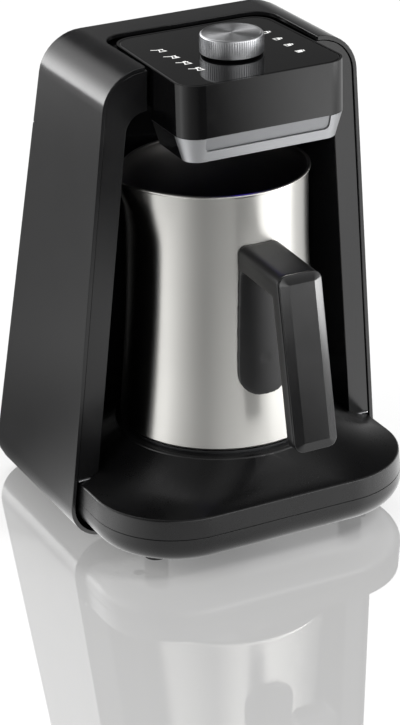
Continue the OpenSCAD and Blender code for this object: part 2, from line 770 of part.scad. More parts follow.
module spout_hull(t) {
    hull() {
        translate([-spout_reach + spout_r + t, 0, pot_z + pot_h - lip_t])
            cylinder(r = spout_r, h = lip_t, $fn = 24);
        for (s = [-1, 1]) translate([-spout_root, s * (spout_half - t), pot_z + pot_h - lip_t])
            cylinder(r = spout_r, h = lip_t, $fn = 24);
        translate([spout_r + 2 + t - pot_waist_d / 2, 0, pot_z + pot_h - spout_drop])
            cylinder(r = spout_r, h = 1, $fn = 24);
        translate([-spout_root, 0, pot_z + pot_h - spout_drop - 2]) cylinder(r = spout_r, h = 1, $fn = 24);
    }
}

module pot_body() {
    place() color("#c9cacb") difference() {
        union() {
            rotate_extrude() polygon(concat([[0, pot_z + 0.5], [pot_r(0) - 1.5, pot_z + 0.5]],
                pot_side(0, 1.5, pot_h - 1.8),
                [[pot_rim_d / 2, pot_z + pot_h - 1.2], [pot_rim_d / 2, pot_z + pot_h - 0.4],
                 [pot_rim_d / 2 - 0.5, pot_z + pot_h], [0, pot_z + pot_h]]));
            spout_hull(0);
        }
        rotate_extrude() polygon(concat([[0, pot_z + 4.7]], [[pot_r(4.7) - pot_wall - 2, pot_z + 4.7]],
            pot_side(-pot_wall, 6.7, pot_h + 1), [[0, pot_z + pot_h + 1]]));
        difference() {
            translate([0, 0, 1.4]) spout_hull(pot_wall + 0.2);
            upright(0, 0, pot_z, pot_z + pot_h - spout_low, far);
        }
        upright(0, 0, pot_z - 1, pot_z + 3.6, pot_r(0) - 3);
    }
}

module pot_base() {
    place() color("#a7a8a9") upright(0, 0, pot_z, pot_z + 3.5, pot_r(0) - 3.1);
}

// distance from the pot's axis to the welded end of a stud
function stud_foot(h) = pot_r(h - stud_r) + 0.02;
module handle_studs() {
    place() color("#b5b5b5") for (h = stud_h)
        translate([0, -stud_foot(h), pot_z + h]) rotate([90, 0, 0]) cylinder(r = stud_r, h = stud_l);
}

// outline of the mounting plate seen from the front
function plate_outline() =
    let (z0 = pot_z + plate_low, z1 = grip_z + 1.5)
    rounded([[-plate_w2 / 2, z0], [plate_w2 / 2, z0], [plate_w2 / 2 - 0.5, z0 + 16], [plate_w1 / 2, z1],
        [-plate_w1 / 2, z1], [-plate_w2 / 2 + 0.5, z0 + 16]], [13, 13, 0, 3, 3, 0]);

module grip_frame() {
    translate([0, -grip_reach, grip_z]) rotate([-grip_lean, 0, 0]) children();
}

module handle_body() {
    w = grip_w / 2;
    arm = rounded([[-w, -arm_h], [w, -arm_h], [w, 0], [-w, 0]], [2, 2, 5, 5]);
    place() color("#39393b") difference() {
        union() {
            intersection() {
                pot_solid(plate_t, 20, pot_h - 20);
                along_y(plate_outline(), -far / 2, -10);
            }
            // arm, rounded like the grip's top end
            intersection() {
                translate([0, -grip_reach, grip_z]) rotate([arm_tilt, 0, 0]) along_y(arm, -10, 70);
                along_x([[-30, 0], [-30, far], [-grip_reach - far * tan(grip_lean), grip_z + far],
                    [-grip_reach, grip_z], [-grip_reach - grip_l * sin(grip_lean), 0]], far);
            }
            // grip
            grip_frame() intersection() {
                translate([0, 0, -grip_l]) linear_extrude(grip_l) polygon(rounded(
                    [[-w, 0], [w, 0], [w, grip_depth], [-w, grip_depth]], [0, 0, 4, 4]));
                along_y(rounded([[-w, -grip_l], [w, -grip_l], [w, 0], [-w, 0]], [7, 7, 5, 5]), -5, 20);
            }
        }
        pot_solid(gap, 1, pot_h);
        for (h = stud_h) translate([0, 0, pot_z + h]) rotate([90, 0, 0])
            cylinder(r = stud_r + stud_fit, h = stud_foot(h) + stud_l + stud_room);
    }
}

module handle_cover() {
    w = grip_w / 2;
    n = end_bevel / bevel_depth;
    place() color("#434345") grip_frame() translate([0, -gap / 2, 0]) intersection() {
        translate([0, 0, -grip_l]) linear_extrude(grip_l) polygon([[-w, 0], [-w, bevel_depth - cover_t],
            [side_bevel - w, -cover_t], [w - side_bevel, -cover_t], [w, bevel_depth - cover_t], [w, 0]]);
        along_y(rounded([[-w, -grip_l], [w, -grip_l], [w, 0], [-w, 0]], [7, 7, 5, 5]), -10, 5);
        // the cover's ends slope like its sides
        along_x([[1, far], [bevel_depth - cover_t + 1, n], [-cover_t - 1, -end_bevel - n],
            [-cover_t - 1, end_bevel - grip_l + n], [bevel_depth - cover_t + 1, -grip_l - n],
            [1, -grip_l - far]], far);
    }
}

outer_shell();
inner_housing();
rear_cover();
rear_cap();
base_top();
base_tray();
feet();
heater_plate();
heater_seal();
heater_element();
thermostat();
temp_sensor();
head_shell();
touch_panel();
trim_frame();
trim_plate();
head_underside();
sensor_window();
foam_sensor();
control_board();
encoder_body();
encoder_plunger();
encoder_shaft();
knob_hub();
knob();
buzzer();
power_board();
relay();
power_module();
cord_inlet();
case_screws();
pot_body();
pot_base();
handle_studs();
handle_body();
handle_cover();
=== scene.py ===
"""Electric Turkish coffee maker: its visible pieces, their finishes and a studio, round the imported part.

Laid out as a Blender add-on and run as a script. Metres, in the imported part's own frame.
"""

import math

import bmesh
import bpy
from bpy.props import FloatProperty, FloatVectorProperty, IntProperty, PointerProperty
from mathutils import Matrix, Vector


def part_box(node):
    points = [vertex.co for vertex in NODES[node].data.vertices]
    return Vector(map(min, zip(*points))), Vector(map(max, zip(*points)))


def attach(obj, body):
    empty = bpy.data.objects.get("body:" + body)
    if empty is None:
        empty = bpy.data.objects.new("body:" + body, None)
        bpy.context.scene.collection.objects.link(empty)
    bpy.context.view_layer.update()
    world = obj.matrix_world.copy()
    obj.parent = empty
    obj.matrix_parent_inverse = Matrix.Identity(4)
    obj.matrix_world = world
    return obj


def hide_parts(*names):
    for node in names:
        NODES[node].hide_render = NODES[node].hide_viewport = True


bl_info = {
    "name": "Turkish coffee maker",
    "version": (1, 0, 0),
    "blender": (4, 5, 0),
    "location": "View3D > Sidebar > Coffee maker",
    "description": "Builds the coffee maker's visible pieces, finishes and studio",
    "category": "Object",
}

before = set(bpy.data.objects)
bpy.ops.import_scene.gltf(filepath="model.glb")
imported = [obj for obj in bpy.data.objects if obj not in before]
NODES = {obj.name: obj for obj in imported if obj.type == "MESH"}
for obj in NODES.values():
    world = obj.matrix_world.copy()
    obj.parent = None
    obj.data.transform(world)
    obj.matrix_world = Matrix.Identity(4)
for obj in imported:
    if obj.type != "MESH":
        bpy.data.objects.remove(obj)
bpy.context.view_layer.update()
MM = 0.001
# corners this near to each other are one, and faces that turn by less than this are one flat face
WELD = 2e-6
FLAT = math.radians(0.4)

# the camera: turn, height and roll in degrees, the point it looks at, distance, lens in mm and shift
CAMERA_TURN = (-25.98, 24.21, -1.52)
CAMERA_AIM = (0.00128, 0.024045, 0.08071)
CAMERA_AWAY = 1.50422
CAMERA_LENS = 239.473
CAMERA_SHIFT = (-0.01435, -0.0063)

# the floor's own light and the share of it that mirrors; the even light of the room on matt surfaces
FLOOR_GLOW = 0.35
FLOOR_MIRROR = 0.5
WORLD_SOFT = 0.45
FLOOR_SIZE = 8
LAMP_AIM = (0, 0, 0.13)
# sines of the heights between which the walls give way to the ceiling
CEILING = (0.02, 0.42)
# distances from the middle between which the near, middle and far floor change over
NEAR_FLOOR = (0.22, 0.42)
FAR_FLOOR = (0.85, 1.25)
# (degrees from the front, brightness) in gloss of three bands of the floor, the walls and the ceiling
NEAR_RING = [
    (-180, 0.2), (-138, 0.2), (-122, 0.6), (-105, 1.4), (-86, 1.9), (-68, 1.2), (-50, 0.8), (-32, 0.8),
    (-12, 0.8), (10, 1.1), (27, 1.1), (40, 1.7), (60, 1.8), (80, 1.9), (100, 0.7), (150, 0.3), (180, 0.2),
]
MIDDLE_RING = [
    (-180, 0.3), (-150, 0.3), (-110, 1.0), (-97, 1.4), (-80, 0.8), (-58, 0.4), (-46, 0.3), (-26, 0.2),
    (-10, 0.1), (22, 0.1), (23.5, 0.5), (25, 1.0), (29, 2.2), (60, 1.1), (100, 0.8), (150, 0.5), (180, 0.3),
]
FAR_RING = [
    (-180, 1.0), (-150, 0.6), (-97, 2.2), (-56, 0.6), (-30, 0.1), (6, 0.03), (18, 0.3), (25, 0.8),
    (27, 1.1), (36, 3.0), (44, 6.0), (52, 15.0), (68, 15.0), (78, 3.0), (105, 1.1), (154, 0.7), (180, 1.0),
]
WALL_RING = [
    (-180, 2.0), (-150, 6.2), (-130, 4.0), (-97, 2.2), (-76, 0.8), (-56, 0.3), (-42, 0.15), (-20, 2.0),
    (-6, 2.8), (10, 4.0), (26, 5.4), (36, 3.4), (55, 1.4), (85, 1.2), (105, 0.5), (154, 0.4), (180, 2.0),
]
CEILING_RING = [
    (-180, 0.12), (-165, 1.4), (-140, 1.4), (-110, 0.3), (-80, 0.3), (-42, 0.1), (-8, 0.5), (10, 0.4),
    (30, 0.5), (50, 0.5), (75, 0.3), (100, 0.08), (150, 0.05), (180, 0.12),
]
# the brightness that a full stop of a ring stands for
RING_TOP = 16.0
# (name, place, size, power, colour); they light the matt part of a finish, and the rings its gloss
LAMPS = [
    ("softbox_right", (1.0, -1.0, 1.9), (0.7, 0.7), 16, "#FFFFFF"),
    ("softbox_left", (-1.6, -0.2, 1.0), (0.8, 1.2), 10, "#FFFDF8"),
    ("softbox_rear", (0.3, 1.6, 1.9), (0.8, 0.5), 8, "#FFFFFF"),
]


def middle(name):
    """The middle of a CAD node's box."""
    low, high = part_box(name)
    return (low + high) / 2


POT_AXIS = middle("pot_base").xy
POT_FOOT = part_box("pot_base")[0].z
KNOB_AXIS = middle("knob").xy
PANEL_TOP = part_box("touch_panel")[1].z

# the bezel's face at the table plane and its lean, and the bay's sides there and their lean
BEZEL_Y = 0.000645
BEZEL_LEAN = math.tan(math.radians(4.2))
BAY_HALF = 0.0828
SIDE_LEAN = math.tan(math.radians(5.15))
# the lean of the handle's grip
GRIP_LEAN = math.radians(10.4)
# how far the silver band's foot is drawn in
TRIM_IN = 0.004
# the icons' rows, towards the rear
ICON_ROWS = (0.0034, -0.0099, -0.0222, -0.0347)
# (reach, pull) of the two pulls that draw the pouring lip out of the pot's rim
LIP_PULLS = ((0.034, 0.0035), (0.017, 0.003))


def linear(code):
    """An sRGB hex colour as linear red, green and blue."""
    parts = [int(code[i : i + 2], 16) / 255 for i in (1, 3, 5)]
    return tuple(c / 12.92 if c <= 0.04045 else ((c + 0.055) / 1.055) ** 2.4 for c in parts)


# ---- materials -------------------------------------------------------------------------------


def add(tree, kind, inputs=None, **settings):
    """Adds a node with its settings; a value in inputs is a number, a colour or a socket to link."""
    made = tree.nodes.new(kind)
    for name, value in settings.items():
        setattr(made, name, value)
    for name, value in (inputs or {}).items():
        if isinstance(value, bpy.types.NodeSocket):
            tree.links.new(value, made.inputs[name])
        else:
            made.inputs[name].default_value = value
    return made


def finish(name, colour, tint, rough, grain=(0.3, 0.3, 0.3), depth=0.0, blotch=18.0, turned=None, **shader):
    """A procedural finish, with what is the same all over set on the shader by name.

    grain is the pattern's size along x, y and z in mm and depth its height in mm; blotch is the size
    in mm of slow changes between colour and tint; turned is the middle of concentric cuts, grain[0] mm
    apart.
    """
    made = bpy.data.materials.new(name)
    made.use_nodes = True
    tree = made.node_tree
    surface = tree.nodes["Principled BSDF"]
    place = add(tree, "ShaderNodeTexCoord").outputs["Object"]
    slow = add(tree, "ShaderNodeTexNoise", {"Vector": place, "Scale": 1000 / blotch, "Detail": 3.0,
                                            "Roughness": 0.55})
    if turned is None:
        drawn = add(tree, "ShaderNodeMapping", {"Vector": place, "Scale": [1000 / g for g in grain]})
        fine = add(tree, "ShaderNodeTexNoise", {"Vector": drawn.outputs[0], "Scale": 1.0, "Detail": 2.0,
                                                "Roughness": 0.5})
    else:
        drawn = add(tree, "ShaderNodeMapping", {"Vector": place, "Location": [-v for v in turned]})
        fine = add(tree, "ShaderNodeTexWave", {"Vector": drawn.outputs[0], "Scale": 50 / grain[0],
                                               "Distortion": 0.0},
                   wave_type="RINGS", rings_direction="Z")
    pattern = fine.outputs["Fac"]
    mixed = add(tree, "ShaderNodeMix", {0: slow.outputs[0], 6: (*linear(colour), 1), 7: (*linear(tint), 1)},
                data_type="RGBA")
    tree.links.new(mixed.outputs[2], surface.inputs["Base Color"])
    worn = add(tree, "ShaderNodeMath", {0: slow.outputs[0], 1: pattern}, operation="MULTIPLY")
    spread = add(tree, "ShaderNodeMapRange", {"Value": worn.outputs[0], "From Min": 0.12, "From Max": 0.42,
                                              "To Min": rough[0], "To Max": rough[1]})
    tree.links.new(spread.outputs[0], surface.inputs["Roughness"])
    if depth:
        bump = add(tree, "ShaderNodeBump", {"Height": pattern, "Distance": depth * MM, "Strength": 1.0})
        tree.links.new(bump.outputs[0], surface.inputs["Normal"])
    for socket, value in shader.items():
        surface.inputs[socket.replace("_", " ")].default_value = value
    return made


def cut_round(material):
    """Stretches a metal's highlights across cuts that run round the vertical axis."""
    tree = material.node_tree
    round_z = add(tree, "ShaderNodeTangent", direction_type="RADIAL", axis="Z")
    tree.links.new(round_z.outputs[0], tree.nodes["Principled BSDF"].inputs["Tangent"])
    return material


def make_finishes():
    """Every finish on the machine, named for its material and how its surface was made."""
    knob_middle = (*KNOB_AXIS, 0.0)
    return {made.name: made for made in (
        # ABS moulded in a finely blasted tool: deep grey, smooth enough to hold a soft reflection
        finish("satin_abs", "#161617", "#19191A", (0.17, 0.23), (0.5, 0.5, 0.5), 0.0012, IOR=1.5),
        # the same ABS on the platform, a shade darker and a little duller
        finish("platform_abs", "#09090A", "#0C0C0D", (0.26, 0.33), (0.5, 0.5, 0.5), 0.002, IOR=1.5),
        # polished ABS: black with a sharp gloss
        finish("gloss_abs", "#050506", "#070708", (0.07, 0.11), (6, 6, 6), 0.002, IOR=1.53),
        # toughened glass printed black from behind: a mirror over black
        finish("printed_glass", "#040405", "#060607", (0.045, 0.06), (9, 9, 9), IOR=1.52),
        # glass-filled nylon from a smooth tool: dark grey satin on the cover, duller on the body
        finish("satin_nylon", "#141415", "#171718", (0.13, 0.17), (0.6, 0.6, 0.6), 0.001, IOR=1.53),
        finish("matt_nylon", "#111112", "#151516", (0.36, 0.44), (0.6, 0.6, 0.6), 0.002, IOR=1.49),
        # stainless steel brushed round: long upright highlights and fine level lines
        cut_round(finish("brushed_steel", "#CBCAC6", "#C5C4C0", (0.28, 0.33), (50, 50, 0.5), 0.0004, 60.0,
                         Metallic=1.0, Anisotropic=0.85, Anisotropic_Rotation=0.25)),
        # the pot's inside, drawn: duller, and painted a darker grey as shade
        finish("drawn_steel", "#8F8D8A", "#807E7B", (0.34, 0.46), (40, 40, 2.0), 0.002, 25.0,
               Metallic=1.0),
        # aluminium turned on its face: light and dark wedges that meet at the middle
        cut_round(finish("turned_aluminium", "#D2D2D4", "#C8C9CB", (0.42, 0.47), (0.25, 0.25, 0.25), 0.0003,
                         30.0, knob_middle, Metallic=1.0, Anisotropic=1.0, Anisotropic_Rotation=0.25)),
        # the same aluminium, knurled round its side
        finish("knurled_aluminium", "#C6C7C9", "#C2C3C5", (0.27, 0.29), (0.4, 0.4, 0.4), 0.0, 30.0,
               Metallic=1.0),
        # zinc casting under satin silver paint: pale grey with a wide soft highlight
        finish("silver_paint", "#A9AAAC", "#A1A2A4", (0.34, 0.42), (0.4, 0.4, 0.4), 0.001, 40.0,
               Metallic=0.85),
        # aluminium sheet brushed along its length
        finish("brushed_plate", "#8E8F91", "#858688", (0.36, 0.44), (30, 0.4, 0.4), 0.002, 40.0,
               Metallic=0.9),
        # moulded rubber, dusty black
        finish("moulded_rubber", "#101010", "#1A1A1A", (0.65, 0.8), (0.6, 0.6, 0.6), 0.03, IOR=1.52),
        # silicone, matt grey-black
        finish("silicone", "#161616", "#1D1D1D", (0.55, 0.65), (0.8, 0.8, 0.8), 0.01, IOR=1.41),
        # cast aluminium, faced on a lathe and darkened by heat
        finish("cast_aluminium", "#77787A", "#5F6061", (0.32, 0.45), (0.9, 0.9, 0.9), 0.01, 18.0,
               (*POT_AXIS, 0.0), Metallic=1.0),
        # dark acrylic that passes infrared, made to glow faintly blue: painted light that tints the pot's
        # inside
        finish("sensor_acrylic", "#1A0F26", "#22143A", (0.05, 0.10), (5, 5, 5), 0.001, IOR=1.49,
               Emission_Color=(*linear("#3A22C8"), 1), Emission_Strength=7.0),
        # glass-epoxy board under green solder mask
        finish("green_board", "#1F4B30", "#2A5E3C", (0.28, 0.4), (1.2, 1.2, 1.2), 0.02, IOR=1.55),
        # zinc-plated steel: pale, with small cloudy crystals
        finish("zinc_steel", "#A9AAA8", "#8E8F8C", (0.28, 0.42), (0.8, 0.8, 0.8), 0.01, 6.0,
               Metallic=1.0),
        # moulded component cases
        finish("blue_case", "#1E4FA0", "#1B4690", (0.35, 0.45), (0.6, 0.6, 0.6), 0.01, IOR=1.5),
        finish("black_case", "#17181A", "#1D1E20", (0.4, 0.5), (0.6, 0.6, 0.6), 0.01, IOR=1.5),
        # pressed steatite: chalky white, unglazed
        finish("steatite", "#C9C3B4", "#D3CDBF", (0.5, 0.6), (0.7, 0.7, 0.7), 0.02, IOR=1.6),
        # white ink behind the glass, lit from inside
        finish("white_ink", "#E8E8E6", "#DCDCDA", (0.45, 0.55), (0.4, 0.4, 0.4), 0.002, IOR=1.5,
               Emission_Color=(1, 1, 1, 1), Emission_Strength=0.45),
    )}


FINISH_OF = {
    "outer_shell": "satin_abs", "inner_housing": "satin_abs", "rear_cover": "satin_abs",
    "rear_cap": "satin_abs", "base_top": "platform_abs", "base_tray": "platform_abs",
    "feet": "moulded_rubber", "heater_plate": "cast_aluminium", "heater_seal": "silicone",
    "heater_element": "zinc_steel", "thermostat": "steatite", "temp_sensor": "zinc_steel",
    "head_shell": "gloss_abs", "touch_panel": "printed_glass", "trim_frame": "silver_paint",
    "trim_plate": "brushed_plate", "head_underside": "satin_abs", "sensor_window": "sensor_acrylic",
    "foam_sensor": "green_board", "control_board": "green_board", "encoder_body": "zinc_steel",
    "encoder_plunger": "steatite", "encoder_shaft": "zinc_steel", "knob_hub": "black_case",
    "knob": "turned_aluminium", "buzzer": "black_case", "power_board": "green_board", "relay": "blue_case",
    "power_module": "black_case", "cord_inlet": "moulded_rubber", "case_screws": "zinc_steel",
    "pot_body": "brushed_steel", "pot_base": "drawn_steel", "handle_studs": "zinc_steel",
    "handle_body": "satin_nylon", "handle_cover": "satin_nylon",
}
# how far the moulded edges of the parts that stay are rounded, in mm
EDGE_OF = {
    "outer_shell": 0.6, "rear_cover": 0.4, "rear_cap": 0.4, "base_top": 0.5, "base_tray": 0.3,
    "head_shell": 0.35, "head_underside": 0.4, "cord_inlet": 0.5, "feet": 0.6, "relay": 0.4,
    "power_module": 0.4,
}

# filled by the first operator
finishes = {}


# ---- modelling -------------------------------------------------------------------------------


def alone(piece):
    """Makes a piece the only one selected, and active."""
    bpy.ops.object.select_all(action="DESELECT")
    piece.select_set(True)
    bpy.context.view_layer.objects.active = piece
    return piece


def apply(piece, kind, **settings):
    """Adds a modifier to a piece and applies it."""
    alone(piece)
    made = piece.modifiers.new(kind.lower(), kind)
    for name, value in settings.items():
        setattr(made, name, value)
    bpy.ops.object.modifier_apply(modifier=made.name)


def settle(piece, name, material, rides, replaced=(), crisp=False, smooth=32):
    """Finishes a piece: name, place, normals, finish, the body it rides on and the nodes it replaces."""
    alone(piece)
    piece.name = piece.data.name = name
    bpy.ops.object.transform_apply(location=True, rotation=True, scale=True)
    piece.data.materials.clear()
    piece.data.materials.append(finishes[material])
    bpy.ops.object.shade_smooth_by_angle(angle=math.radians(smooth))
    if crisp:
        apply(piece, "WEIGHTED_NORMAL", keep_sharp=True)
    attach(piece, rides)
    if replaced:
        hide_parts(*replaced)
    return piece


def second_finish(piece, material, test):
    """Gives a second finish to the faces that pass a test."""
    piece.data.materials.append(finishes[material])
    for face in piece.data.polygons:
        face.material_index = 1 if test(face) else 0


def trace(points):
    """Draws a run of joined edges through points; leaves it in edit mode."""
    bpy.ops.object.select_all(action="DESELECT")
    bpy.ops.mesh.primitive_plane_add(size=0.01)
    piece = bpy.context.object
    bpy.ops.object.mode_set(mode="EDIT")
    bpy.ops.mesh.select_mode(type="VERT")
    bpy.ops.mesh.merge(type="CENTER")
    bpy.ops.transform.translate(value=points[0])
    for here, there in zip(points, points[1:]):
        bpy.ops.mesh.extrude_vertices_move(TRANSFORM_OT_translate={"value": Vector(there) - Vector(here)})
    return piece


def lathe(profile, axis, steps):
    """Turns (radius, height) points round a vertical axis; leaves the piece in edit mode."""
    piece = trace([(axis[0] + r, axis[1], z) for r, z in profile])
    bpy.ops.mesh.select_all(action="SELECT")
    bpy.ops.mesh.spin(steps=steps, angle=math.tau, center=(axis[0], axis[1], 0), axis=(0, 0, 1))
    bpy.ops.mesh.select_all(action="SELECT")
    bpy.ops.mesh.remove_doubles(threshold=WELD)
    bpy.ops.mesh.normals_make_consistent(inside=False)
    return piece


def slab(outline, push):
    """A closed piece: a flat outline of points, pushed along a vector; leaves it in edit mode."""
    piece = trace(outline)
    bpy.ops.mesh.select_all(action="SELECT")
    bpy.ops.mesh.edge_face_add()
    bpy.ops.mesh.select_all(action="SELECT")
    bpy.ops.mesh.extrude_region_move(TRANSFORM_OT_translate={"value": push})
    bpy.ops.mesh.select_all(action="SELECT")
    bpy.ops.mesh.normals_make_consistent(inside=False)
    return piece


def recast(node):
    """A merged copy of a CAD part with its flat faces whole; leaves it in edit mode."""
    piece = bpy.data.objects.new(node, NODES[node].data.copy())
    bpy.context.scene.collection.objects.link(piece)
    alone(piece)
    bpy.ops.object.mode_set(mode="EDIT")
    bpy.ops.mesh.select_mode(type="VERT")
    bpy.ops.mesh.select_all(action="SELECT")
    bpy.ops.mesh.remove_doubles(threshold=WELD)
    bpy.ops.mesh.dissolve_limited(angle_limit=FLAT)
    return piece


def pick(piece, kind, test):
    """Selects only the vertices or faces (in edit mode) whose middle passes a test."""
    mesh = bmesh.from_edit_mesh(piece.data)
    bpy.ops.mesh.select_all(action="DESELECT")
    for part in getattr(mesh, kind):
        part.select_set(test(part.co if kind == "verts" else part.calc_center_median()))
    mesh.select_flush_mode()
    bmesh.update_edit_mesh(piece.data)


def round_edges(piece, reach, steps, test=None, turn=30):
    """Rounds the edges (in edit mode) that turn by over turn degrees and whose middle passes a test."""
    bpy.ops.mesh.select_mode(type="EDGE")
    bpy.ops.mesh.select_all(action="DESELECT")
    mesh = bmesh.from_edit_mesh(piece.data)
    for edge in mesh.edges:
        if edge.is_manifold and edge.calc_face_angle() > math.radians(turn):
            edge.select_set(test is None or test((edge.verts[0].co + edge.verts[1].co) / 2))
    bmesh.update_edit_mesh(piece.data)
    bpy.ops.mesh.bevel(offset=reach, segments=steps, profile=0.5, clamp_overlap=True)


def span(values):
    """The least and the greatest of some values."""
    values = list(values)
    return min(values), max(values)


def lumps(node):
    """The corners of the box round each separate solid of a CAD node."""
    mesh = bmesh.new()
    mesh.from_mesh(NODES[node].data)
    bmesh.ops.remove_doubles(mesh, verts=mesh.verts, dist=WELD)
    left, found = set(mesh.verts), []
    while left:
        start = left.pop()
        group, queue = [start], [start]
        while queue:
            for edge in queue.pop().link_edges:
                for vert in edge.verts:
                    if vert in left:
                        left.discard(vert)
                        group.append(vert)
                        queue.append(vert)
        sides = [span(vert.co[i] for vert in group) for i in range(3)]
        found.append(tuple(Vector(corner) for corner in zip(*sides)))
    mesh.free()
    return sorted(found, key=lambda box: tuple(round(v, 4) for v in box[0]))


def join(pieces):
    """Joins finished meshes into the first."""
    alone(pieces[0])
    for piece in pieces[1:]:
        piece.select_set(True)
    bpy.ops.object.join()
    return pieces[0]


def arc(middle_at, radius, start, end, steps):
    """Points on an arc, with angles in degrees."""
    angles = [math.radians(start + (end - start) * k / steps) for k in range(steps + 1)]
    return [(middle_at[0] + radius * math.cos(a), middle_at[1] + radius * math.sin(a)) for a in angles]


# ---- sizes -----------------------------------------------------------------------------------


class CaseSizes(bpy.types.PropertyGroup):
    """Sizes on the housing."""

    bay_round: FloatProperty(name="Bay edge", description="Rounding of the bay's front edge",
                             default=0.0022, unit="LENGTH")
    # the strips at the bezel's foot are a painted highlight
    strip: FloatProperty(name="Strip", description="Height of the bright strips at the bezel's foot",
                         default=0.0010, unit="LENGTH")


class HeadSizes(bpy.types.PropertyGroup):
    """Sizes on the control head."""

    chamfer: FloatProperty(name="Glass chamfer", description="Ground edge of the glass", default=0.0007,
                           unit="LENGTH")
    icon_side: FloatProperty(name="Icon side", description="From the middle to a column of icons",
                             default=0.0300, unit="LENGTH")
    ink: FloatProperty(name="Ink", description="Thickness of the print", default=0.00004, unit="LENGTH")
    recess_round: FloatProperty(name="Recess corner", description="Corner radius of the plate's recess",
                                default=0.0026, unit="LENGTH")


class PotSizes(bpy.types.PropertyGroup):
    """Sizes of the steel pot."""

    foot: FloatProperty(name="Foot radius", description="Radius at the pot's foot", default=0.057,
                        unit="LENGTH")
    waist: FloatProperty(name="Waist radius", description="Radius at the waist", default=0.050,
                         unit="LENGTH")
    rim: FloatProperty(name="Rim radius", description="Radius over the rolled rim", default=0.0515,
                       unit="LENGTH")
    height: FloatProperty(name="Height", description="Foot to rim", default=0.1453, unit="LENGTH")
    waist_height: FloatProperty(name="Waist height", description="Foot to waist", default=0.105,
                                unit="LENGTH")
    bead: FloatProperty(name="Bead", description="Radius of the rolled rim's bead", default=0.0010,
                        unit="LENGTH")
    wall: FloatProperty(name="Wall", description="Thickness of the steel", default=0.0012, unit="LENGTH")
    steps: IntProperty(name="Steps", description="Faces round the pot", default=144)


class HandleSizes(bpy.types.PropertyGroup):
    """Sizes of the handle."""

    fillet: IntProperty(name="Fillet", description="Smoothing passes over the body's edges", default=10)
    corner: FloatProperty(name="Corner", description="Rounding of the cover's corners", default=0.0053,
                          unit="LENGTH")
    facet: FloatProperty(name="Facet", description="Width of the cover's facet", default=0.0051,
                         unit="LENGTH")
    facet_rise: FloatProperty(name="Facet rise", description="From the facet's rim to the cover's face",
                              default=0.0015, unit="LENGTH")
    facet_edge: FloatProperty(name="Facet rim", description="Rounding of the facet's rim", default=0.0005,
                              unit="LENGTH")


class KnobSizes(bpy.types.PropertyGroup):
    """Sizes of the turning knob."""

    radius: FloatProperty(name="Radius", description="Radius over the knurl", default=0.017,
                          unit="LENGTH")
    ribs: IntProperty(name="Ribs", description="Ribs round the side", default=80)


class CoffeeMaker(bpy.types.PropertyGroup):
    """Everything a user would change."""

    case: PointerProperty(type=CaseSizes)
    head: PointerProperty(type=HeadSizes)
    pot: PointerProperty(type=PotSizes)
    handle: PointerProperty(type=HandleSizes)
    knob: PointerProperty(type=KnobSizes)
    floor: FloatVectorProperty(name="Floor", description="Colour of the studio floor", subtype="COLOR",
                               default=linear("#F4F4F4"))


# ---- pieces ----------------------------------------------------------------------------------


class COFFEE_OT_finishes(bpy.types.Operator):
    """Makes every finish and puts it on the machine's own parts"""

    bl_idname = "coffee.finishes"
    bl_label = "Finishes"

    def execute(self, context):
        finishes.update(make_finishes())
        for name, part in NODES.items():
            part.data.materials.clear()
            part.data.materials.append(finishes[FINISH_OF[name]])
            if name in EDGE_OF:
                self.soften(part, EDGE_OF[name] * MM)
        return {"FINISHED"}

    def soften(self, part, reach):
        """Rounds a part's edges by modifiers, so that its own mesh stays as it is."""
        part.modifiers.new("weld", "WELD").merge_threshold = WELD
        flat = part.modifiers.new("flat", "DECIMATE")
        flat.decimate_type = "DISSOLVE"
        flat.angle_limit = FLAT
        edge = part.modifiers.new("edge", "BEVEL")
        edge.width = reach
        edge.segments = 3
        edge.limit_method = "ANGLE"
        edge.angle_limit = math.radians(32)
        part.modifiers.new("even", "WEIGHTED_NORMAL").keep_sharp = True
        for face in part.data.polygons:
            face.use_smooth = True


class COFFEE_OT_housing(bpy.types.Operator):
    """Models the inner housing with the soft edge of its bay, and the silver strips at its foot that are a
    painted highlight
    """

    bl_idname = "coffee.housing"
    bl_label = "Housing"

    def execute(self, context):
        size = context.scene.coffee_maker.case
        housing = recast("inner_housing")
        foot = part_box("inner_housing")[0].z

        def on_front(c):
            return abs(c.y - (BEZEL_Y - c.z * BEZEL_LEAN)) < 0.0003

        def on_bay(c):
            return on_front(c) and abs(c.x) + c.z * SIDE_LEAN < BAY_HALF + 0.001 and c.z > foot + 0.001

        round_edges(housing, size.bay_round, 5, on_bay)
        bpy.ops.object.mode_set(mode="OBJECT")
        settle(housing, "housing_skin", "satin_abs", "machine", ["inner_housing"], True)
        # the silver strips stand in for a glint on the platform's lip: a painted highlight
        strips = []
        low, high = foot + 0.0002, foot + 0.0002 + size.strip
        front = BEZEL_Y - foot * BEZEL_LEAN - size.strip
        near, far = BAY_HALF - foot * SIDE_LEAN + 0.0003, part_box("inner_housing")[1].x - 0.0004
        for side in (-1, 1):
            inner, outer = side * near, side * far
            points = [(inner, front, low), (outer, front, low), (outer, front, high), (inner, front, high)]
            strip = slab(points, (0, size.strip + 0.0008, 0))
            round_edges(strip, size.strip * 0.4, 3)
            bpy.ops.object.mode_set(mode="OBJECT")
            strips.append(strip)
        settle(join(strips), "foot_strips", "silver_paint", "machine", ())
        return {"FINISHED"}


class COFFEE_OT_glass(bpy.types.Operator):
    """Models the glass panel with its ground edge"""

    bl_idname = "coffee.glass"
    bl_label = "Glass"

    def execute(self, context):
        glass = recast("touch_panel")
        knob = Vector((*KNOB_AXIS, PANEL_TOP))
        round_edges(glass, context.scene.coffee_maker.head.chamfer, 4,
                    lambda c: c.z > PANEL_TOP - 0.00005 and (c - knob).length > 0.008)
        bpy.ops.object.mode_set(mode="OBJECT")
        settle(glass, "glass_panel", "printed_glass", "machine", ["touch_panel"], True)
        return {"FINISHED"}


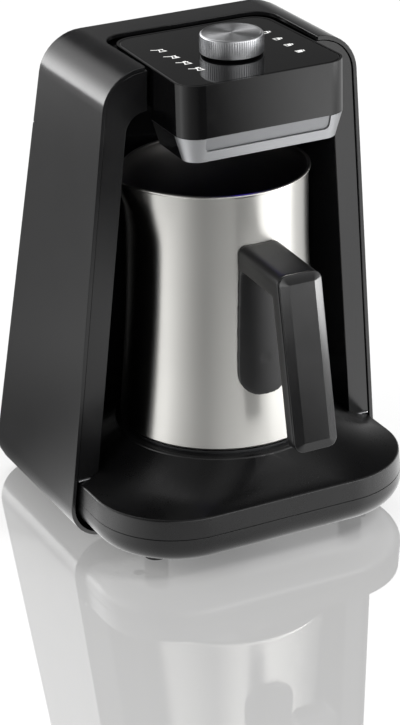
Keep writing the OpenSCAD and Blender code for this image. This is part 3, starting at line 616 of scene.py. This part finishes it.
class COFFEE_OT_icons(bpy.types.Operator):
    """Prints the touch icons on the glass: four pots on the left and four cups on the right"""

    bl_idname = "coffee.icons"
    bl_label = "Icons"

    def execute(self, context):
        size = context.scene.coffee_maker.head
        marks = []
        for row, down in enumerate(ICON_ROWS):
            # a pot with its long handle; the sign inside tells the size
            at = (-size.icon_side + 0.0002 + 0.0011 * row, down)
            body = [(-1.9, 2.2), (1.7, 2.2), (1.2, 0.7), (2.4, -2.2), (-2.3, -2.2), (-1.3, 0.7)]
            marks.append(self.mark(at, body, 0.7))
            marks.append(self.mark(at, [(-1.7, 2.1), (-1.9, 1.4), (-5.0, 2.9), (-4.8, 3.6)]))
            if row == 1:
                marks.append(self.mark(at, [(0.0, 0.2), (1.1, 0.2), (1.3, -1.3), (0.0, -1.3)]))
            if row > 1:
                marks.append(self.mark(at, [(-1.3, 3.2), (1.1, 3.2), (0.8, 2.2), (-1.0, 2.2)]))
            # a cup with its small handle; the filling tells how much
            at = (size.icon_side + 0.0018, down)
            marks.append(self.mark(at, [(-2.1, 1.7), (1.9, 1.7), (1.3, -1.7), (-1.5, -1.7)], 0.55))
            left = (0.8, 0.3, -0.3, -0.9)[row]
            marks.append(self.mark(at, [(left, 1.2), (1.6, 1.2), (1.2, -1.2), (left, -1.2)]))
            handle = [(1.9, 1.4), (3.2, 1.3), (3.1, -0.6), (1.5, -0.9), (1.5, -0.3), (2.5, -0.1),
                      (2.6, 0.7), (1.9, 0.8)]
            marks.append(self.mark(at, handle))
        settle(join(marks), "panel_icons", "white_ink", "machine")
        return {"FINISHED"}

    def mark(self, at, outline, line=None):
        """A flat mark from points in mm round a place; with a line width it is open inside."""
        piece = trace([(at[0] + x * MM, at[1] + y * MM, PANEL_TOP - 0.00001) for x, y in outline])
        bpy.ops.mesh.select_all(action="SELECT")
        bpy.ops.mesh.edge_face_add()
        if line:
            bpy.ops.mesh.select_mode(type="FACE")
            bpy.ops.mesh.select_all(action="SELECT")
            bpy.ops.mesh.inset(thickness=line * MM, depth=0)
            bpy.ops.mesh.delete(type="ONLY_FACE")
        bpy.ops.mesh.select_all(action="SELECT")
        ink = bpy.context.scene.coffee_maker.head.ink
        bpy.ops.mesh.extrude_region_move(TRANSFORM_OT_translate={"value": (0, 0, ink)})
        bpy.ops.mesh.select_all(action="SELECT")
        bpy.ops.mesh.normals_make_consistent(inside=False)
        bpy.ops.object.mode_set(mode="OBJECT")
        return piece


class COFFEE_OT_trim(bpy.types.Operator):
    """Models the silver band, the round corners of its recess and the plate in it"""

    bl_idname = "coffee.trim"
    bl_label = "Trim"

    def execute(self, context):
        corner = context.scene.coffee_maker.head.recess_round
        low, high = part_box("trim_plate")
        band_low, band_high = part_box("trim_frame")
        slope = TRIM_IN / (band_high.z - band_low.z)
        # the room round the plate, and how far and how deep the filling bites into the band
        room, bite, flush, deep = 0.00006, 0.0006, 0.00004, 0.0017
        half = high.x + room

        def front(z, behind):
            return band_low.y + slope * (band_high.z - z) + behind

        # metal is put back in the window's lower corners, and the corners are cut again with a radius
        band = recast("trim_frame")
        bpy.ops.object.mode_set(mode="OBJECT")
        top, foot = low.z + corner + 0.001, low.z - room - bite
        section = [(front(foot, flush), foot), (front(top, flush), top), (front(top, deep), top),
                   (front(foot, deep), foot)]
        fill = slab([(-half - bite, y, z) for y, z in section], (2 * (half + bite), 0, 0))
        bpy.ops.object.mode_set(mode="OBJECT")
        floor = low.z - room
        edge = ([(-half, high.z + 0.01)] + arc((-half + corner, floor + corner), corner, 180, 270, 8)
                + arc((half - corner, floor + corner), corner, 270, 360, 8) + [(half, high.z + 0.01)])
        window = slab([(x, band_low.y - 0.005, z) for x, z in edge], (0, 0.0125, 0))
        bpy.ops.object.mode_set(mode="OBJECT")
        apply(band, "BOOLEAN", operation="UNION", object=fill, solver="EXACT")
        apply(band, "BOOLEAN", operation="DIFFERENCE", object=window, solver="EXACT")
        for tool in (fill, window):
            alone(tool)
            bpy.ops.object.delete()
        alone(band)
        bpy.ops.object.mode_set(mode="EDIT")
        bpy.ops.mesh.select_all(action="SELECT")
        bpy.ops.mesh.remove_doubles(threshold=WELD)
        bpy.ops.mesh.dissolve_limited(angle_limit=FLAT)
        round_edges(band, 0.00025, 2, None, 40)
        bpy.ops.object.mode_set(mode="OBJECT")
        settle(band, "trim_band", "silver_paint", "machine", ["trim_frame"], True)
        # the band's two sides take the black gloss finish; only its front is silver
        second_finish(band, "gloss_abs", lambda face: abs(face.normal.x) > 0.9
                      and face.center.y > band_low.y + 0.012)

        plate = recast("trim_plate")
        round_edges(plate, corner - room, 8, lambda c: c.z < low.z + 0.0005 and abs(c.x) > high.x - 0.0005)
        round_edges(plate, 0.0001, 2, None, 40)
        bpy.ops.object.mode_set(mode="OBJECT")
        settle(plate, "recess_plate", "brushed_plate", "machine", ["trim_plate"], True)
        return {"FINISHED"}


class COFFEE_OT_handle(bpy.types.Operator):
    """Models the handle's soft body and the faceted cover set in it"""

    bl_idname = "coffee.handle"
    bl_label = "Handle"

    def execute(self, context):
        size = context.scene.coffee_maker.handle
        body = recast("handle_body")
        bpy.ops.object.mode_set(mode="OBJECT")
        apply(body, "REMESH", mode="VOXEL", voxel_size=0.0007)
        apply(body, "SMOOTH", factor=0.5, iterations=size.fillet)
        settle(body, "grip_body", "matt_nylon", "pot", ["handle_body"])
        self.cover(size)
        return {"FINISHED"}

    def cover(self, size):
        """The cover: a rounded outline along the leaning grip, with one facet all round its face."""
        down = Vector((0, -math.sin(GRIP_LEAN), -math.cos(GRIP_LEAN)))
        out = Vector((0, -math.cos(GRIP_LEAN), math.sin(GRIP_LEAN)))
        corners = [vert.co for vert in NODES["handle_cover"].data.vertices]
        top, foot = span(c.dot(down) for c in corners)
        back, front = span(c.dot(out) for c in corners)
        half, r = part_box("handle_cover")[1].x, size.corner
        outline = (arc((half - r, foot - r), r, 0, 90, 14) + arc((r - half, foot - r), r, 90, 180, 14)
                   + arc((r - half, top + r), r, 180, 270, 14) + arc((half - r, top + r), r, 270, 360, 14))
        # a tenth of a millimetre behind the CAD cover's face, so that the outer size holds
        rise = front - back - size.facet_rise - 0.00012
        cover = slab([Vector((x, 0, 0)) + down * t + out * back for x, t in outline], out * rise)

        def in_front(c):
            return c.dot(out) > back + rise - 0.00001

        round_edges(cover, size.facet_edge, 5, in_front, 60)
        bpy.ops.mesh.select_mode(type="FACE")
        pick(cover, "faces", in_front)
        bpy.ops.mesh.inset(thickness=size.facet - size.facet_edge, depth=size.facet_rise)
        bpy.ops.object.mode_set(mode="OBJECT")
        settle(cover, "grip_cover", "satin_nylon", "pot", ["handle_cover"], smooth=15)


class COFFEE_OT_screws(bpy.types.Operator):
    """Models the case screws with the crosses in their heads"""

    bl_idname = "coffee.screws"
    bl_label = "Screws"

    def execute(self, context):
        screws = recast("case_screws")
        bpy.ops.object.mode_set(mode="OBJECT")
        crosses = []
        # a cross's width and length and twice its depth, in mm
        slot, arm, deep = 0.7, 3.2, 2.2
        for low, high in lumps("case_screws"):
            centre = (low + high) / 2
            upright = high.z - low.z > 0.01
            at = (centre.x, centre.y, low.z) if upright else (centre.x, high.y, centre.z)
            for wide, long in ((slot, arm), (arm, slot)):
                spread = (wide, long, deep) if upright else (wide, deep, long)
                bpy.ops.mesh.primitive_cube_add(size=1, location=at)
                bpy.context.object.scale = [v * MM for v in spread]
                bpy.ops.object.transform_apply(location=True, rotation=True, scale=True)
                crosses.append(bpy.context.object)
        cutter = join(crosses)
        apply(screws, "BOOLEAN", operation="DIFFERENCE", object=cutter, solver="EXACT", use_self=True)
        alone(cutter)
        bpy.ops.object.delete()
        settle(screws, "cross_screws", "zinc_steel", "machine", ["case_screws"])
        return {"FINISHED"}


class COFFEE_OT_pot(bpy.types.Operator):
    """Models the steel pot with its rolled rim and pouring lip"""

    bl_idname = "coffee.pot"
    bl_label = "Pot"

    def execute(self, context):
        size = context.scene.coffee_maker.pot

        def side(h):
            if h < size.waist_height:
                return size.waist + (size.foot - size.waist) * (1 - h / size.waist_height) ** 1.6
            up = (h - size.waist_height) / (size.height - size.waist_height)
            return size.waist + (size.rim - size.bead - size.waist) * up ** 2

        def near_foot(points):
            """Profile points from (in from the foot's radius, up from the foot) in mm."""
            return [(size.foot - r * MM, POT_FOOT + h * MM) for r, h in points]

        top = size.height
        outside = [0.0016 + (top - 0.0036) * k / 30 for k in range(31)]
        inside = [top - 0.004 - (top - 0.014) * k / 16 for k in range(17)]
        foot = near_foot([(3.2, 3.6), (3.0, 0.6), (2.2, 0.2), (1.0, 0.4)])
        bowl = near_foot([(3.5, 6.5), (5.5, 5.0)])
        profile = ([(0, POT_FOOT + 0.0036)] + foot + [(side(h), POT_FOOT + h) for h in outside]
                   + arc((size.rim - size.bead, POT_FOOT + top - size.bead), size.bead, -60, 210, 9)
                   + [(side(h) - size.wall, POT_FOOT + h) for h in inside]
                   + bowl + [(0, POT_FOOT + 0.0047)])
        pot = lathe(profile, POT_AXIS, size.steps)
        # the pouring lip is drawn out of the rim
        lip = Vector((POT_AXIS[0] - size.rim, POT_AXIS[1], POT_FOOT + top))
        for reach, pull in LIP_PULLS:
            lip_now = lip.copy()
            pick(pot, "verts", lambda c: (c - lip_now).length < 0.004)
            bpy.ops.transform.translate(value=(-pull, 0, 0), use_proportional_edit=True,
                                        proportional_edit_falloff="SMOOTH", proportional_size=reach)
            lip.x -= pull
        bpy.ops.object.mode_set(mode="OBJECT")
        settle(pot, "steel_pot", "brushed_steel", "pot", ["pot_body"])

        # the inside faces take the darker steel, a painted shade
        def within(face):
            away, up = face.center.xy - POT_AXIS, face.normal.z
            inward = face.normal.xy.dot(away) < 0 and up > -0.5 and face.center.z > POT_FOOT + 0.004
            return inward or (away.length < size.foot - 0.004 and up > 0.5)

        second_finish(pot, "drawn_steel", within)
        return {"FINISHED"}


class COFFEE_OT_knob(bpy.types.Operator):
    """Models the knob with its knurled side and turned face"""

    bl_idname = "coffee.knob"
    bl_label = "Knob"

    def execute(self, context):
        size = context.scene.coffee_maker.knob
        low, high = (v.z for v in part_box("knob"))
        r = size.radius
        # (in from the radius, up from the knob's foot) and then (in, down from its top), both in mm
        skirt = [(0.6, 0), (0.4, 0.3), (0.4, 0.7)]
        crown = [(0.4, 1.0), (0.5, 0.6), (1.0, 0.1), (1.3, 0), (1.6, 0.05), (2.0, 0.3)]
        profile = ([(r - 0.0018, high - 0.002), (r - 0.0018, low)]
                   + [(r - inward * MM, low + up * MM) for inward, up in skirt]
                   + [(r - inward * MM, high - down * MM) for inward, down in crown]
                   + [(radius, high - 0.0003) for radius in (0.009, 0.0045, 0)])
        knob = lathe(profile, KNOB_AXIS, size.ribs * 2)
        centre = Vector((*KNOB_AXIS, 0))

        def on_rib(c):
            angle = math.atan2(c.y - centre.y, c.x - centre.x) % math.tau
            column = int(angle / math.tau * size.ribs * 2)
            far = math.hypot(c.x - centre.x, c.y - centre.y) > r - 0.00055
            return far and column % 2 == 0 and low + 0.0006 < c.z < high - 0.0009

        bpy.ops.mesh.select_mode(type="FACE")
        pick(knob, "faces", on_rib)
        bpy.ops.mesh.extrude_region_shrink_fatten(TRANSFORM_OT_shrink_fatten={"value": 0.0004})
        bpy.ops.object.mode_set(mode="OBJECT")
        settle(knob, "knurled_knob", "turned_aluminium", "knob", ["knob"])
        second_finish(knob, "knurled_aluminium", lambda face: face.normal.z < 0.9)
        return {"FINISHED"}


def studio_ring(tree, vector, ring):
    """The brightness of a ring in the direction of a vector round the machine."""
    flat = add(tree, "ShaderNodeSeparateXYZ", {0: vector})
    back = add(tree, "ShaderNodeMath", {0: flat.outputs[1], 1: -1.0}, operation="MULTIPLY")
    turn = add(tree, "ShaderNodeMath", {0: flat.outputs[0], 1: back.outputs[0]}, operation="ARCTAN2")
    share = add(tree, "ShaderNodeMapRange", {"Value": turn.outputs[0], "From Min": -math.pi,
                                             "From Max": math.pi})
    ramp = add(tree, "ShaderNodeValToRGB", {0: share.outputs[0]})
    stops = ramp.color_ramp.elements
    while len(stops) > 1:
        stops.remove(stops[0])
    for count, (degrees, level) in enumerate(ring):
        stop = stops[0] if count == 0 else stops.new(degrees / 360 + 0.5)
        stop.position = degrees / 360 + 0.5
        stop.color = (level / RING_TOP,) * 3 + (1,)
    scaled = add(tree, "ShaderNodeMath", {0: ramp.outputs[0], 1: RING_TOP}, operation="MULTIPLY")
    return scaled.outputs[0]


def fade(tree, value, ends):
    """A smooth change from 0 to 1 between two values."""
    return add(tree, "ShaderNodeMapRange", {"Value": value, "From Min": ends[0], "From Max": ends[1]},
               interpolation_type="SMOOTHSTEP").outputs[0]


def blend(tree, share, first, second, kind="ShaderNodeMixShader"):
    """A mix of two shaders, or of two values."""
    at = 1 if kind == "ShaderNodeMixShader" else 2
    return add(tree, kind, {0: share, at: first, at + 1: second}).outputs[0]


def shine(tree, kind, strength):
    """A shader that gives white light of its own."""
    return add(tree, kind, {"Color": (1, 1, 1, 1), "Strength": strength}).outputs[0]


class COFFEE_OT_stage(bpy.types.Operator):
    """Sets up the floor, the lamps, the background and the camera"""

    bl_idname = "coffee.stage"
    bl_label = "Stage"

    def execute(self, context):
        scene = context.scene
        scene.view_settings.view_transform = "Standard"
        bpy.ops.object.select_all(action="DESELECT")
        bpy.ops.mesh.primitive_plane_add(size=FLOOR_SIZE, location=(0, 0, 0))
        floor = bpy.context.object
        floor.name = "studio_floor"
        floor.data.materials.append(self.floor_finish(scene.coffee_maker.floor))
        self.background(scene)
        for name, at, size, power, colour in LAMPS:
            bpy.ops.object.light_add(type="AREA", location=at)
            lamp = bpy.context.object
            lamp.name = name
            lamp.rotation_euler = (Vector(LAMP_AIM) - Vector(at)).to_track_quat("-Z", "Y").to_euler()
            lamp.data.shape = "RECTANGLE"
            lamp.data.size, lamp.data.size_y = size
            lamp.data.energy = power
            lamp.data.color = linear(colour)
            lamp.visible_glossy = False
        self.camera(scene)
        return {"FINISHED"}

    def floor_finish(self, colour):
        """Polished white acrylic: mirrors the machine, keeps its shadow, shows pools of light in gloss."""
        made = bpy.data.materials.new("polished_acrylic")
        made.use_nodes = True
        tree = made.node_tree
        tree.nodes.remove(tree.nodes["Principled BSDF"])
        matt = add(tree, "ShaderNodeBsdfDiffuse", {"Color": (*colour, 1)}).outputs[0]
        gloss = add(tree, "ShaderNodeBsdfGlossy", {"Color": (1, 1, 1, 1), "Roughness": 0.0}).outputs[0]
        glow = shine(tree, "ShaderNodeEmission", FLOOR_GLOW)
        place = add(tree, "ShaderNodeTexCoord").outputs["Object"]
        away = add(tree, "ShaderNodeVectorMath", {0: place}, operation="LENGTH").outputs["Value"]
        rings = [studio_ring(tree, place, ring) for ring in (NEAR_RING, MIDDLE_RING, FAR_RING)]
        close = blend(tree, fade(tree, away, NEAR_FLOOR), rings[0], rings[1], "ShaderNodeMix")
        level = blend(tree, fade(tree, away, FAR_FLOOR), close, rings[2], "ShaderNodeMix")
        pools = shine(tree, "ShaderNodeEmission", level)
        seen = add(tree, "ShaderNodeLightPath").outputs
        both = add(tree, "ShaderNodeAddShader", {0: matt, 1: glow}).outputs[0]
        bright = blend(tree, FLOOR_MIRROR, both, gloss)
        in_gloss = blend(tree, seen["Is Glossy Ray"], matt, pools)
        lit = blend(tree, seen["Is Camera Ray"], in_gloss, bright)
        tree.links.new(lit, tree.nodes["Material Output"].inputs["Surface"])
        return made

    def background(self, scene):
        """White where it is seen, lit walls and a dim ceiling in gloss, and a soft even light."""
        world = scene.world or bpy.data.worlds.new("studio")
        scene.world = world
        world.use_nodes = True
        tree = world.node_tree
        tree.nodes.clear()
        seen = add(tree, "ShaderNodeLightPath").outputs
        soft = shine(tree, "ShaderNodeBackground", WORLD_SOFT)
        toward = add(tree, "ShaderNodeTexCoord").outputs["Generated"]
        height = add(tree, "ShaderNodeSeparateXYZ", {0: toward}).outputs[2]
        walls, ceiling = (studio_ring(tree, toward, ring) for ring in (WALL_RING, CEILING_RING))
        level = blend(tree, fade(tree, height, CEILING), walls, ceiling, "ShaderNodeMix")
        gloss = shine(tree, "ShaderNodeBackground", level)
        white = shine(tree, "ShaderNodeBackground", 1.0)
        mirror = add(tree, "ShaderNodeMath", {0: seen["Is Camera Ray"], 1: seen["Is Singular Ray"]},
                     operation="MAXIMUM").outputs[0]
        lit = blend(tree, mirror, blend(tree, seen["Is Glossy Ray"], soft, gloss), white)
        out = add(tree, "ShaderNodeOutputWorld")
        tree.links.new(lit, out.inputs["Surface"])

    def camera(self, scene):
        """A long lens, from the front left and above."""
        azimuth, elevation, roll = (math.radians(v) for v in CAMERA_TURN)
        back = Vector((math.sin(azimuth) * math.cos(elevation), -math.cos(azimuth) * math.cos(elevation),
                       math.sin(elevation)))
        right = Vector((math.cos(azimuth), math.sin(azimuth), 0))
        up = back.cross(right)
        side = right * math.cos(roll) + up * math.sin(roll)
        top = up * math.cos(roll) - right * math.sin(roll)
        bpy.ops.object.camera_add()
        camera = bpy.context.object
        camera.name = "studio_camera"
        turn = Matrix((side, top, back)).transposed().to_4x4()
        camera.matrix_world = Matrix.Translation(Vector(CAMERA_AIM) + back * CAMERA_AWAY) @ turn
        lens = camera.data
        lens.sensor_fit, lens.sensor_width, lens.lens = "HORIZONTAL", 36.0, CAMERA_LENS
        lens.shift_x, lens.shift_y = CAMERA_SHIFT
        lens.clip_start, lens.clip_end = 0.05, 30.0
        scene.camera = camera


class COFFEE_PT_panel(bpy.types.Panel):
    """Lists the coffee maker's pieces and sizes."""

    bl_idname = "COFFEE_PT_panel"
    bl_label = "Coffee maker"
    bl_space_type = "VIEW_3D"
    bl_region_type = "UI"
    bl_category = "Coffee maker"

    def draw(self, context):
        made = context.scene.coffee_maker
        for group in (made.case, made.head, made.pot, made.handle, made.knob):
            box = self.layout.box()
            for name in group.__annotations__:
                box.prop(group, name)
        for operator in OPERATORS:
            self.layout.operator(operator.bl_idname)


OPERATORS = (COFFEE_OT_finishes, COFFEE_OT_housing, COFFEE_OT_glass, COFFEE_OT_icons, COFFEE_OT_trim,
             COFFEE_OT_pot, COFFEE_OT_handle, COFFEE_OT_knob, COFFEE_OT_screws, COFFEE_OT_stage)
CLASSES = (CaseSizes, HeadSizes, PotSizes, HandleSizes, KnobSizes, CoffeeMaker, *OPERATORS, COFFEE_PT_panel)


def register():
    for each in CLASSES:
        bpy.utils.register_class(each)
    bpy.types.Scene.coffee_maker = PointerProperty(type=CoffeeMaker)


def unregister():
    del bpy.types.Scene.coffee_maker
    for each in reversed(CLASSES):
        bpy.utils.unregister_class(each)


def main():
    """Builds everything."""
    register()
    for operator in OPERATORS:
        category, name = operator.bl_idname.split(".")
        getattr(getattr(bpy.ops, category), name)()


if __name__ == "__main__":
    main()
